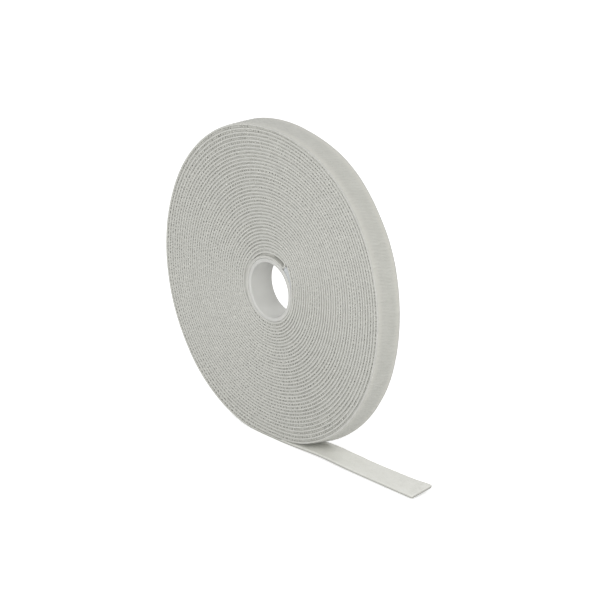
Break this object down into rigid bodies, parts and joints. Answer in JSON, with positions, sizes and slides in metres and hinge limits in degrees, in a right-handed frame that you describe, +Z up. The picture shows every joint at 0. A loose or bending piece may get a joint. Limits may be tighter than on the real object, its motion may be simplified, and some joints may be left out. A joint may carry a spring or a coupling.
{
  "type": "hook and loop tape roll",
  "caption": "Narrow back-to-back hook and loop tape wound on a plastic core, standing on edge, with its free end laid out flat and able to lift.",
  "frame": {"origin": "on the floor, straight under the middle of the outermost turn, in the middle of the tape's width at that place", "axes": "+Y along the roll's axis, away from the side that the picture shows; +X the way the free end is laid; +Z up"},
  "size_m": [0.1605, 0.0157, 0.1407],
  "materials": {
    "core_plastic": "smooth satin moulded plastic, slightly translucent",
    "start_glue": "smooth hot-melt glue",
    "tape_edge": "woven web edges with hook and loop pile between the turns",
    "tape_hook_side": "woven web with rows of fine hooks across its width",
    "tape_loop_side": "brushed knitted loop pile"
  },
  "bodies": {
    "roll": {"core_ring": "core_plastic", "start_glue_bead": "start_glue", "inner_turns": "tape_edge", "outer_turns": "tape_hook_side"},
    "tail": {"free_tail": "tape_loop_side"}
  },
  "joints": [
    {"name": "tail_lift", "type": "hinge", "parent": "roll", "child": "tail", "pos_m": [0.03598, 0.00122, 0.00093], "axis": [0.0339, -0.9994, 0], "range_deg": [0, 50]}
  ]
}
